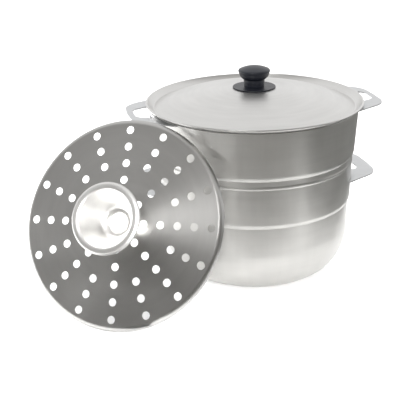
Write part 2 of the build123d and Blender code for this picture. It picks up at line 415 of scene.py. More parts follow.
def flat_sheet(name: str, outlines: Sequence[Sequence[Point]], gauge: float, edge: float) -> bpy.types.Mesh:
    """Cut a flat sheet with softened edges, lying on z = 0 with its thickness above.

    Args:
        name: Name of the mesh.
        outlines: Outer outline and then any holes, in millimetres.
        gauge: Thickness of the sheet.
        edge: Radius that softens its edges.

    Returns:
        The closed mesh, in metres.
    """
    curve = bpy.data.curves.new(name, "CURVE")
    curve.dimensions = "2D"
    curve.fill_mode = "BOTH"
    curve.extrude = (gauge / 2 - edge) * MM
    curve.bevel_depth = edge * MM
    curve.bevel_resolution = 2
    curve.offset = -edge * MM
    for outline in outlines:
        spline = curve.splines.new("POLY")
        spline.points.add(len(outline) - 1)
        for point, (x, y) in zip(spline.points, outline):
            point.co = (x * MM, y * MM, 0, 1)
        spline.use_cyclic_u = True
    holder = bpy.data.objects.new(name, curve)
    bpy.context.scene.collection.objects.link(holder)
    graph = bpy.context.evaluated_depsgraph_get()
    mesh = bpy.data.meshes.new_from_object(holder.evaluated_get(graph))
    bpy.data.objects.remove(holder)
    bpy.data.curves.remove(curve)
    mesh.transform(Matrix.Translation((0, 0, gauge / 2 * MM)))
    finish_mesh(mesh)
    return mesh


def make_piece(name: str, mesh: bpy.types.Mesh, finish: Finish) -> bpy.types.Object:
    """Put a mesh into the scene as an object at the origin, with its finish.

    Args:
        name: Name of the object.
        mesh: Mesh in metres, in place.
        finish: Finish that dresses it.

    Returns:
        The new object.
    """
    piece = bpy.data.objects.new(name, mesh)
    bpy.context.scene.collection.objects.link(piece)
    mesh.materials.clear()
    mesh.materials.append(finish.material())
    return piece


def place(piece: bpy.types.Object, body: Body, slot: str, *nodes: str) -> None:
    """Tie a piece to its body and hide the CAD nodes it stands for.

    Args:
        piece: Object in place.
        body: Body it rides on.
        slot: Material slot of the record; not used.
        *nodes: CAD nodes that it replaces.
    """
    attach(piece, body.value)
    if nodes:
        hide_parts(*nodes)
    log.info("%s: %d faces", piece.name, len(piece.data.polygons))


def apply_tree(piece: bpy.types.Object, tree: bpy.types.NodeTree, values: dict[str, float]) -> None:
    """Run a Geometry Nodes tree on a piece once and keep the result as its mesh.

    Args:
        piece: Object whose mesh goes in.
        tree: Tree with named inputs.
        values: Value of each named input.
    """
    modifier = piece.modifiers.new(tree.name, "NODES")
    modifier.node_group = tree
    for item in tree.interface.items_tree:
        if item.item_type == "SOCKET" and item.in_out == "INPUT" and item.name in values:
            modifier[item.identifier] = values[item.name]
    bpy.context.view_layer.update()
    graph = bpy.context.evaluated_depsgraph_get()
    result = bpy.data.meshes.new_from_object(piece.evaluated_get(graph))
    piece.modifiers.remove(modifier)
    old = piece.data
    piece.data = result
    bpy.data.meshes.remove(old)


def new_tree(name: str, inputs: dict[str, str]) -> tuple[bpy.types.NodeTree, bpy.types.Node]:
    """Start a Geometry Nodes tree with a geometry input, named inputs and a geometry output.

    Args:
        name: Name of the tree.
        inputs: Socket type by input name.

    Returns:
        The tree and its Group Input node.
    """
    tree = bpy.data.node_groups.new(name, "GeometryNodeTree")
    tree.interface.new_socket("Geometry", in_out="INPUT", socket_type="NodeSocketGeometry")
    for label, kind in inputs.items():
        tree.interface.new_socket(label, in_out="INPUT", socket_type=kind)
    tree.interface.new_socket("Geometry", in_out="OUTPUT", socket_type="NodeSocketGeometry")
    return tree, tree.nodes.new("NodeGroupInput")


# Finishes


@dataclass(frozen=True)
class Finish:
    """A named finish that makes its material once."""

    name: str

    def material(self) -> bpy.types.Material:
        """Return the material, made at its first use."""
        found = bpy.data.materials.get(self.name)
        if found:
            return found
        made = bpy.data.materials.new(self.name)
        made.use_nodes = True
        made.node_tree.nodes.clear()
        surface = self.paint(made.node_tree)
        add_node(made.node_tree, "ShaderNodeOutputMaterial", {"Surface": surface})
        return made

    def paint(self, tree: bpy.types.NodeTree) -> bpy.types.NodeSocket:
        """Build the shader and return its socket."""
        raise NotImplementedError


@dataclass(frozen=True)
class SpunAluminium(Finish):
    """Aluminium sheet spun over a former, with fine marks where the tool passed."""

    tone: str
    roughness: float
    line_pitch: float = 0.9
    line_breaks: float = 0.7
    line_depth: float = 0.012
    line_strength: float = 0.6
    line_swing: float = 0.12
    band_pitch: float = 11.0
    band_breaks: float = 1.6
    # Painted reflection streaks in the tone: their length, their breaks round the axis and their strength
    painted_streak_length: float = 90.0
    painted_streak_breaks: float = 9.0
    painted_streaking: float = 0.0
    haze_per_metre: float = 25.0
    haze_swing: float = 0.16
    dark_share: float = 0.86
    brushing: float = 0.75

    def paint(self, tree: bpy.types.NodeTree) -> bpy.types.NodeSocket:
        """Build satin metal whose glints spread across the tool's path."""
        lathe = add_node(tree, "ShaderNodeAttribute", attribute_name="lathe").outputs["Vector"]
        around = add_node(tree, "ShaderNodeAttribute", attribute_name="around").outputs["Vector"]
        # Tool marks about a millimetre apart, nearly unbroken round the axis: they grain every glint
        line_place = stretch(tree, lathe, (1 / self.line_pitch, self.line_breaks, self.line_breaks))
        lines = add_noise(tree, line_place, 1.0, 3.0, 0.6)
        # Wider bands where the roller was pressed in steps: soft rings a centimetre wide
        band_place = stretch(tree, lathe, (1 / self.band_pitch, self.band_breaks, self.band_breaks))
        bands = add_noise(tree, band_place, 1.0, 2.0)
        # Painted reflection: upright streaks in the tone, some 18 mm apart and a hand long, stand in for the
        # streaked reflections down the wall
        painted_streak_place = stretch(tree, lathe, (1 / self.painted_streak_length, self.painted_streak_breaks, self.painted_streak_breaks))
        painted_streaks = add_noise(tree, painted_streak_place, 1.0, 3.0, 0.6)
        # Handling haze in patches of some 40 mm: dulls the metal here and there
        spots = add_node(tree, "ShaderNodeTexCoord").outputs["Object"]
        haze = add_noise(tree, spots, self.haze_per_metre, 4.0)
        light = linear(self.tone)
        dark = (*(share * self.dark_share for share in light[:3]), 1.0)
        # The tone follows the rings and the painted reflection streaks
        ringed = add_maths(tree, "SUBTRACT", bands, self.painted_streaking / 2)
        mottle = add_maths(tree, "MULTIPLY_ADD", painted_streaks, self.painted_streaking, ringed)
        # The factor and colours of a Mix node in colour mode are its sockets 0, 6 and 7
        colour = add_node(tree, "ShaderNodeMix", {0: mottle, 6: dark, 7: light}, data_type="RGBA")
        worn = vary(tree, haze, self.roughness - self.line_swing / 2, self.haze_swing)
        rough = add_maths(tree, "MULTIPLY_ADD", lines, self.line_swing, worn)
        relief = add_maths(tree, "ADD", lines, bands)
        depth = self.line_depth * MM
        bump = add_node(
            tree, "ShaderNodeBump", {"Height": relief, "Strength": self.line_strength, "Distance": depth}
        )
        shader = add_node(
            tree, "ShaderNodeBsdfPrincipled",
            {
                "Base Color": colour.outputs[2],
                "Metallic": 1.0,
                "Roughness": rough,
                "Anisotropic": self.brushing,
                "Anisotropic Rotation": ACROSS_MARKS,
                "Normal": bump.outputs[0],
                "Tangent": around,
            },
        )
        return shader.outputs[0]


@dataclass(frozen=True)
class PressedAluminium(Finish):
    """Aluminium blanked and bent in a press, with a rolled grain."""

    tone: str
    roughness: float
    grain_per_metre: tuple[float, float, float] = (1600.0, 80.0, 1600.0)
    grain_depth: float = 0.01
    grain_strength: float = 0.5
    patches_per_metre: float = 65.0
    patch_swing: float = 0.2

    def paint(self, tree: bpy.types.NodeTree) -> bpy.types.NodeSocket:
        """Build satin metal with a faint grain and handling marks."""
        spots = add_node(tree, "ShaderNodeTexCoord").outputs["Object"]
        # Rolled grain, 0.6 mm across and some 12 mm long, gives the flat face its satin streaks
        grain = add_noise(tree, stretch(tree, spots, self.grain_per_metre), 1.0, 3.0)
        # Patches of 15 mm where fingers and the die left the face duller
        patches = add_noise(tree, spots, self.patches_per_metre, 3.0)
        rough = vary(tree, patches, self.roughness, self.patch_swing)
        depth = self.grain_depth * MM
        bump = add_node(
            tree, "ShaderNodeBump", {"Height": grain, "Strength": self.grain_strength, "Distance": depth}
        )
        shader = add_node(
            tree, "ShaderNodeBsdfPrincipled",
            {
                "Base Color": linear(self.tone),
                "Metallic": 1.0,
                "Roughness": rough,
                "Normal": bump.outputs[0],
            },
        )
        return shader.outputs[0]


@dataclass(frozen=True)
class MouldedPhenolic(Finish):
    """Black phenolic moulding, half gloss with a fine skin."""

    tone: str = "111319"
    roughness: float = 0.40
    grain_per_metre: float = 2000.0
    grain_depth: float = 0.02
    grain_strength: float = 0.25
    flows_per_metre: float = 80.0
    flow_swing: float = 0.12
    coat: float = 0.1
    coat_roughness: float = 0.15

    def paint(self, tree: bpy.types.NodeTree) -> bpy.types.NodeSocket:
        """Build the black half-gloss plastic."""
        spots = add_node(tree, "ShaderNodeTexCoord").outputs["Object"]
        # Filler grain of about 0.5 mm breaks the edge of each highlight
        grain = add_noise(tree, spots, self.grain_per_metre, 2.0)
        # Flow marks of some 12 mm vary the gloss as on a moulded knob
        flow = add_noise(tree, spots, self.flows_per_metre, 3.0)
        rough = vary(tree, flow, self.roughness, self.flow_swing)
        depth = self.grain_depth * MM
        bump = add_node(
            tree, "ShaderNodeBump", {"Height": grain, "Strength": self.grain_strength, "Distance": depth}
        )
        shader = add_node(
            tree, "ShaderNodeBsdfPrincipled",
            {
                "Base Color": linear(self.tone),
                "Roughness": rough,
                "Coat Weight": self.coat,
                "Coat Roughness": self.coat_roughness,
                "Normal": bump.outputs[0],
            },
        )
        return shader.outputs[0]


@dataclass(frozen=True)
class TurnedMetal(Finish):
    """Small turned or plated metal parts, plain and half bright."""

    tone: str
    roughness: float
    mottles_per_metre: float = 500.0
    mottle_swing: float = 0.2

    def paint(self, tree: bpy.types.NodeTree) -> bpy.types.NodeSocket:
        """Build the small part's metal."""
        spots = add_node(tree, "ShaderNodeTexCoord").outputs["Object"]
        # Plating mottle of about 2 mm keeps the small faces from looking flat
        mottle = add_noise(tree, spots, self.mottles_per_metre, 3.0)
        rough = vary(tree, mottle, self.roughness, self.mottle_swing)
        shader = add_node(
            tree, "ShaderNodeBsdfPrincipled",
            {"Base Color": linear(self.tone), "Metallic": 1.0, "Roughness": rough},
        )
        return shader.outputs[0]


@dataclass(frozen=True)
class StudioPaper(Finish):
    """Plain pale studio floor."""

    tone: str = "fbfbfb"

    def paint(self, tree: bpy.types.NodeTree) -> bpy.types.NodeSocket:
        """Build the matt floor."""
        paper = add_node(tree, "ShaderNodeBsdfDiffuse", {"Color": linear(self.tone), "Roughness": 0.0})
        return paper.outputs[0]


# The wall and the plate carry painted reflection streaks in their tone
WALL_METAL = SpunAluminium("spun_aluminium_satin", "cccbc8", 0.36, painted_streaking=0.7)
LID_METAL = SpunAluminium("lid_aluminium_satin", "dedddb", 0.34, line_pitch=0.8, brushing=0.5)
PLATE_METAL = SpunAluminium("plate_aluminium_satin", "c6c5c3", 0.33, line_pitch=1.1, painted_streaking=0.2)
# Painted highlight: the funnel's aluminium is a paler copy of the plate's, so that its inside reads as
# glaring white
FUNNEL_METAL_PALED_FOR_GLARE = SpunAluminium("funnel_aluminium_paled_for_glare", "e4e3e1", 0.40, line_depth=0.004, brushing=0.2)
EAR_METAL = PressedAluminium("ear_aluminium_pressed", "d2d3d4", 0.38)
RIVET_METAL = TurnedMetal("rivet_aluminium_plain", "cfcfd1", 0.3)
KNOB_PLASTIC = MouldedPhenolic("black_phenolic_half_gloss")
BRASS = TurnedMetal("insert_brass_turned", "c8a464", 0.3)
ZINC = TurnedMetal("zinc_plated_steel_plain", "bfc1c4", 0.35)


# Sub-assemblies


@dataclass
class PotShell:
    """The spun two-tier shell of the pot, drawn by its outer surface."""

    gauge: float = 1.6
    height: float = 280.0
    rim_radius: float = 170.0
    rim_round: float = 0.7
    base_radius: float = 102.0
    corner_height: float = 80.0
    corner_top_radius: float = 157.0
    lower_ring_height: float = 122.0
    lower_band_radius: float = 157.8
    ring_step: float = 2.8
    ring_rise: float = 4.4
    ring_foot_fillet: float = 0.8
    ring_shoulder_fillet: float = 13.0
    upper_ring_height: float = 201.5
    middle_band_radius: float = 162.4
    bead_depth: float = 0.7
    bead_width: float = 6.0
    bead_drop: float = 11.0
    bead_steps: int = 12
    corner_steps: int = 26
    segments: int = 224

    def wall_radius(self, height: float) -> float:
        """Outer radius of the upper or middle band at a height, in millimetres."""
        if height > self.upper_ring_height:
            return self.rim_radius - (self.height - height) * self.wall_slope(height)
        return self.middle_band_radius - (self.upper_ring_height - height) * self.wall_slope(height)

    def wall_slope(self, height: float) -> float:
        """Outward lean of the wall at a height, as a run over a rise."""
        if height > self.upper_ring_height:
            run = self.rim_radius - self.middle_band_radius - self.ring_step
            return run / (self.height - self.upper_ring_height - self.ring_rise)
        run = self.middle_band_radius - self.lower_band_radius - self.ring_step
        return run / (self.upper_ring_height - self.lower_ring_height - self.ring_rise)

    def ring_corners(self, radius: float, height: float) -> list[Corner]:
        """Foot and shoulder of one ring's step in the wall.

        Args:
            radius: Radius of the band below the ring.
            height: Height of the ring's foot.

        Returns:
            The two corners with their fillets.
        """
        return [
            (radius, height, self.ring_foot_fillet),
            (radius + self.ring_step, height + self.ring_rise, self.ring_shoulder_fillet),
        ]

    def outer_path(self) -> list[Point]:
        """Outer surface from the middle of the base to the rim."""
        bead_level = self.upper_ring_height - self.bead_drop
        low, high = bead_level - self.bead_width / 2, bead_level + self.bead_width / 2
        bead_start, bead_end = (self.wall_radius(low), low), (self.wall_radius(high), high)
        under, over = low - HOLD, high + HOLD
        corners: list[Corner] = [(0.0, 0.0, 0.0), (self.base_radius / 2, 0.0, 0.0)]
        corners += arc_points(
            (self.base_radius, self.corner_height),
            (self.corner_top_radius - self.base_radius, self.corner_height),
            270, 90, self.corner_steps,
        )
        corners += self.ring_corners(self.lower_band_radius, self.lower_ring_height)
        corners.append((self.wall_radius(under), under, 0.0))
        corners += bulged_points(bead_start, bead_end, self.bead_depth, self.bead_steps)
        corners.append((self.wall_radius(over), over, 0.0))
        corners += self.ring_corners(self.middle_band_radius, self.upper_ring_height)
        corners.append((self.rim_radius, self.height, 0.0))
        return rounded(corners)

    def build(self) -> None:
        """Build and dress the shell."""
        loop = sheet_loop(self.outer_path(), self.gauge, self.rim_round)
        mesh = turned_mesh("pot_shell", loop, self.segments)
        mark_turning(mesh)
        place(make_piece("pot_shell", mesh, WALL_METAL), Body.POT, "spun_aluminium", "pot_body")


@dataclass
class EarTier:
    """Height and slot reach of one pair of ears."""

    name: str
    height: float
    slot_reach: float


@dataclass
class Ears:
    """The four pressed ears, their feet down the wall and their rivets."""

    shell: PotShell
    gauge: float = 2.2
    edge: float = 0.45
    reach: float = 37.8
    crown: float = 2.7
    root_half_width: float = 96.0
    tip_half_width: float = 52.0
    tip_fillet: float = 42.0
    crown_fillet: float = 250.0
    slot_half_width: float = 36.0
    slot_tip_half_width: float = 21.0
    slot_root_fillet: float = 4.0
    slot_tip_fillet: float = 17.0
    foot_drop_share: float = 0.85
    foot_half_width: float = 29.0
    foot_fillet: float = 7.0
    foot_cuts: int = 16
    foot_corner_cuts: int = 4
    wall_gap: float = 0.15
    wall_steps: int = 40
    azimuth: float = 12.0
    rivet_radius: float = 2.4
    rivet_head_radius: float = 5.0
    rivet_head_height: float = 2.0
    rivet_head_edge: float = 0.25
    rivet_head_steps: int = 8
    rivet_spread: float = 16.0
    rivet_tail_height: float = 1.2
    rivet_tail_inner_fillet: float = 0.2
    rivet_tail_outer_fillet: float = 0.6
    rivet_segments: int = 32
    rivet_tail_clearance: float = 0.1
    tiers: tuple[EarTier, ...] = (EarTier("upper", 277.2, 29.7), EarTier("lower", 158.0, 15.0))

    def sheet_outline(self, root: float) -> list[Point]:
        """Outline of the sheet, its inner edge along the wall."""
        tip = root + self.reach
        start = Vector((root - self.reach, self.root_half_width))
        corner = Vector((tip, self.tip_half_width))
        heading = (start - corner).normalized()
        distance, spot = 0.0, corner.copy()
        while spot.length > root and distance < 2 * self.reach:
            distance += SEARCH_STEP
            spot = corner + heading * distance
        front = rounded(
            [
                (spot.x, -spot.y, 0),
                (tip, -self.tip_half_width, self.tip_fillet),
                (tip + self.crown, 0, self.crown_fillet),
                (tip, self.tip_half_width, self.tip_fillet),
                (spot.x, spot.y, 0),
            ],
            5.0,
        )
        swing = math.degrees(math.atan2(spot.y, spot.x))
        wall = arc_points((0, 0), (root, root), swing, -2 * swing, self.wall_steps)[1:-1]
        return [*front, *((x, y) for x, y, _ in wall)]

    def slot_outline(self, root: float, slot_root: float, tier: EarTier) -> list[Point]:
        """Outline of the half-moon slot."""
        tip = root + tier.slot_reach
        half, narrow = self.slot_half_width, self.slot_tip_half_width
        ring = [
            (slot_root, 0, 0),
            (slot_root, -half, self.slot_root_fillet),
            (tip, -narrow, self.slot_tip_fillet),
            (tip, narrow, self.slot_tip_fillet),
            (slot_root, half, self.slot_root_fillet),
            (slot_root, 0, 0),
        ]
        return rounded(ring, 8.0)[:-1]

    def foot_mesh(self, tier: EarTier) -> bpy.types.Mesh:
        """Foot of one ear, cut flat and wrapped onto the wall."""
        drop = tier.slot_reach * self.foot_drop_share
        half, top = self.foot_half_width, self.gauge * 0.5
        cuts, corner = self.foot_cuts, self.foot_corner_cuts
        upper_edge = [(half - 2 * half * i / cuts, top, 0) for i in range(1, cuts)]
        lower_edge = [(-half + 2 * half * i / cuts, -drop, 0) for i in range(corner, cuts - corner + 1)]
        corners = [
            (half, top / 2, 0),
            (half, top, 0),
            *upper_edge,
            (-half, top, 0),
            (-half, -drop, self.foot_fillet),
            *lower_edge,
            (half, -drop, self.foot_fillet),
            (half, top / 2, 0),
        ]
        mesh = flat_sheet("foot", [rounded(corners)[:-1]], self.gauge, self.edge)
        for vertex in mesh.vertices:
            along, up, out = vertex.co / MM
            level = tier.height + up
            radius = self.shell.wall_radius(level) + out
            angle = along / self.shell.wall_radius(tier.height)
            vertex.co = Vector((radius * math.cos(angle), radius * math.sin(angle), level)) * MM
        return mesh

    def rivet_loop(self) -> list[Point]:
        """Section of a set rivet, its head above z = 0."""
        grip = self.gauge + self.shell.gauge + self.rivet_tail_clearance
        head_edge = (self.rivet_head_radius, self.rivet_head_edge)
        head = crown_points((0.0, self.rivet_head_height), head_edge, self.rivet_head_steps)
        tail_end = -grip - self.rivet_tail_height
        corners = [
            *head,
            (self.rivet_head_radius, 0.0, 0),
            (self.rivet_radius, 0.0, 0),
            (self.rivet_radius, -grip, 0),
            (self.rivet_head_radius, -grip, self.rivet_tail_inner_fillet),
            (self.rivet_head_radius, tail_end, self.rivet_tail_outer_fillet),
            (0.0, tail_end, 0),
        ]
        return rounded(corners, 20.0)

    def rivet_tree(self) -> bpy.types.NodeTree:
        """Tree that sets one rivet's mesh as a pair on the face of a foot."""
        numbers = ("Face radius", "Level", "Azimuth", "Half spread", "Lean")
        tree, given = new_tree("rivet_pair", {label: "NodeSocketFloat" for label in numbers})
        points = add_node(tree, "GeometryNodePoints", {"Count": 2})
        index = add_node(tree, "GeometryNodeInputIndex")
        side = add_maths(tree, "MULTIPLY_ADD", index.outputs[0], 2.0, -1.0)
        angle = add_maths(tree, "MULTIPLY_ADD", side, given.outputs["Half spread"], given.outputs["Azimuth"])
        radius = given.outputs["Face radius"]
        across = add_maths(tree, "MULTIPLY", add_maths(tree, "COSINE", angle), radius)
        along = add_maths(tree, "MULTIPLY", add_maths(tree, "SINE", angle), radius)
        spot = add_node(tree, "ShaderNodeCombineXYZ", {"X": across, "Y": along, "Z": given.outputs["Level"]})
        set_out = add_node(
            tree, "GeometryNodeSetPosition", {"Geometry": points.outputs[0], "Position": spot.outputs[0]}
        )
        turn = add_node(tree, "ShaderNodeCombineXYZ", {"Y": given.outputs["Lean"], "Z": angle})
        facing = add_node(tree, "FunctionNodeEulerToRotation", {0: turn.outputs[0]})
        copies = add_node(
            tree, "GeometryNodeInstanceOnPoints",
            {
                "Points": set_out.outputs[0],
                "Instance": given.outputs["Geometry"],
                "Rotation": facing.outputs[0],
            },
        )
        real = add_node(tree, "GeometryNodeRealizeInstances", {"Geometry": copies.outputs[0]})
        dressed = add_node(
            tree, "GeometryNodeSetMaterial",
            {"Geometry": real.outputs[0], "Material": RIVET_METAL.material()},
        )
        add_node(tree, "NodeGroupOutput", {"Geometry": dressed.outputs[0]})
        return tree

    def build(self) -> None:
        """Build and dress the four ears and their rivets."""
        tree = self.rivet_tree()
        for tier in self.tiers:
            root = self.shell.wall_radius(tier.height)
            slot_root = self.shell.wall_radius(tier.height + self.gauge) + self.gauge
            outlines = [self.sheet_outline(root + self.wall_gap), self.slot_outline(root, slot_root, tier)]
            for side, turn in (("right", 0.0), ("left", math.pi)):
                node = f"{tier.name}_ear_{side}"
                azimuth = math.radians(self.azimuth) + turn
                flat = flat_sheet(node, outlines, self.gauge, self.edge)
                flat.transform(Matrix.Translation((0, 0, tier.height * MM)))
                work = bmesh.new()
                work.from_mesh(flat)
                work.from_mesh(self.foot_mesh(tier))
                work.to_mesh(flat)
                work.free()
                flat.transform(Matrix.Rotation(azimuth, 4, "Z"))
                finish_mesh(flat)
                place(make_piece(f"{node}_pressing", flat, EAR_METAL), Body.POT, "ear_aluminium", node)
                self.set_rivets(tree, tier, node, azimuth)

    def set_rivets(self, tree: bpy.types.NodeTree, tier: EarTier, node: str, azimuth: float) -> None:
        """Set the pair of rivets of one ear.

        Args:
            tree: Tree that places the pair.
            tier: Tier of the ear.
            node: Name of the ear's CAD node.
            azimuth: Direction of the ear, in radians.
        """
        level = tier.height - tier.slot_reach * self.foot_drop_share * 0.5
        face = self.shell.wall_radius(level) + self.gauge
        mesh = turned_mesh("rivet", self.rivet_loop(), self.rivet_segments)
        rivets = make_piece(f"{node}_rivet_pair", mesh, RIVET_METAL)
        values = {
            "Face radius": face * MM,
            "Level": level * MM,
            "Azimuth": azimuth,
            "Half spread": self.rivet_spread / face,
            "Lean": math.pi / 2 + math.atan(self.shell.wall_slope(level)),
        }
        apply_tree(rivets, tree, values)
        finish_mesh(rivets.data)
        place(rivets, Body.POT, "rivet_aluminium", f"{node}_rivets")


@dataclass
class Lid:
    """The spun dome lid with its flared, beaded rim."""

    shell: PotShell
    gauge: float = 1.4
    radius: float = 177.98
    flare_angle: float = 41.0
    valley_radius: float = 165.0
    valley_fillet: float = 2.5
    bead_radius: float = 1.9
    dome_rise: float = 26.0
    pad_radius: float = 27.0
    hole_radius: float = 2.8
    rest_gap: float = 0.3
    dome_steps: int = 14
    bead_steps: int = 20
    segments: int = 224

    @property
    def pad_level(self) -> float:
        """Height of the underside of the dome's pad, in millimetres."""
        return self.shell.height + self.dome_rise

    def loop(self) -> list[Point]:
        """Section of the lid, from the screw hole out along its underside."""
        lean = math.radians(self.flare_angle)
        rim_middle = self.shell.rim_radius - self.shell.gauge / 2
        rim_round = self.shell.rim_round
        seat = self.shell.height - rim_round + (rim_round + self.rest_gap) / math.cos(lean)
        valley = seat - (rim_middle - self.valley_radius) * math.tan(lean)
        edge_radius = self.radius - self.bead_radius
        edge_level = seat + (edge_radius - rim_middle) * math.tan(lean)
        enter = self.bead_radius
        pad_edge = (self.pad_radius, self.pad_level)
        under = rounded(
            [
                (self.hole_radius, self.pad_level, 0),
                *crown_points(pad_edge, (self.valley_radius, valley), self.dome_steps)[:-1],
                (self.valley_radius, valley, self.valley_fillet + self.gauge),
                (edge_radius - enter * math.cos(lean), edge_level - enter * math.sin(lean), 0),
            ]
        )
        over = left_of(under, self.gauge)
        leave = math.sqrt(self.bead_radius**2 - self.gauge**2)
        last = math.degrees(math.atan2(self.gauge, -leave)) + 360
        start = 180 + self.flare_angle
        bead = arc_points((edge_radius, edge_level), (enter, enter), start, last - 180, self.bead_steps)
        return [*under[:-1], *((x, y) for x, y, _ in bead), *reversed(over[:-1])]

    def build(self) -> None:
        """Build and dress the lid."""
        mesh = turned_mesh("lid_dome", self.loop(), self.segments)
        mark_turning(mesh)
        place(make_piece("lid_dome", mesh, LID_METAL), Body.LID, "lid_aluminium", "lid")


@dataclass
class Knob:
    """The black knob on its base disc, with the metal parts that hold it."""

    lid: Lid
    disc_radius: float = 35.0
    disc_gauge: float = 2.0
    disc_round: float = 0.9
    foot_radius: float = 16.4
    foot_height: float = 5.4
    seam_width: float = 0.9
    seam_depth: float = 0.9
    neck_radius: float = 17.0
    neck_height: float = 12.0
    cap_radius: float = 24.8
    cap_level: float = 23.0
    cap_edge: float = 5.0
    height: float = 33.8
    cove_bulge: float = 1.9
    edge_bulge: float = 1.2
    insert_radius: float = 4.6
    insert_length: float = 13.0
    neck_fillet: float = 1.0
    small_round: float = 0.3
    crown_steps: int = 16
    cove_steps: int = 10
    edge_steps: int = 8
    segments: int = 96

    def disc_loop(self, level: float) -> list[Point]:
        """Section of the base disc."""
        hole, soft = self.lid.hole_radius, self.disc_round
        corners = [
            (hole, level, 0),
            (self.disc_radius, level, soft),
            (self.disc_radius, level + self.disc_gauge, soft),
            (hole, level + self.disc_gauge, 0),
        ]
        return rounded(corners)

    def knob_loop(self, level: float) -> list[Point]:
        """Section of the knob, from its top round to the bottom of its bore."""
        cap, soft = level + self.cap_level, self.small_round
        seam = level + self.foot_height
        groove = self.foot_radius - self.seam_depth
        neck = level + self.neck_height
        cap_top, cap_foot = (self.cap_radius, cap + self.cap_edge), (self.cap_radius, cap)
        neck_top = (self.neck_radius, neck)
        corners = [
            *crown_points((0.0, level + self.height), cap_top, self.crown_steps)[:-1],
            *bulged_points(cap_top, cap_foot, -self.edge_bulge, self.edge_steps),
            *bulged_points(cap_foot, neck_top, -self.cove_bulge, self.cove_steps)[1:-1],
            (self.neck_radius, neck, self.neck_fillet),
            (self.neck_radius, seam + self.seam_width, soft),
            (groove, seam + self.seam_width, 0),
            (groove, seam, 0),
            (self.foot_radius, seam, soft),
            (self.foot_radius, level, soft),
            (self.insert_radius, level, 0),
            (self.insert_radius, level + self.insert_length, 0),
            (0.0, level + self.insert_length, 0),
        ]
        return rounded(corners, 20.0)

    def build(self, nodes: dict[str, bpy.types.Object]) -> None:
        """Build and dress the knob and its disc, and dress the small metal parts.

        Args:
            nodes: CAD nodes by name.
        """
        disc_level = self.lid.pad_level + self.lid.gauge
        level = disc_level + self.disc_gauge
        disc = turned_mesh("knob_disc", self.disc_loop(disc_level), self.segments)
        place(make_piece("knob_disc", disc, KNOB_PLASTIC), Body.LID, "black_phenolic", "knob_base")
        knob = turned_mesh("knob_grip", self.knob_loop(level), self.segments)
        place(make_piece("knob_grip", knob, KNOB_PLASTIC), Body.LID, "black_phenolic", "knob")
        for node, finish in (("knob_insert", BRASS), ("knob_screw", ZINC), ("knob_washer", ZINC)):
            dress_node(nodes[node], finish)


def dress_node(node: bpy.types.Object, finish: Finish) -> None:
    """Give a CAD node that stays in view its finish.

    Args:
        node: CAD node.
        finish: Finish that dresses it.
    """
    node.data.materials.clear()
    node.data.materials.append(finish.material())
    log.info("%s keeps its mesh", node.name)


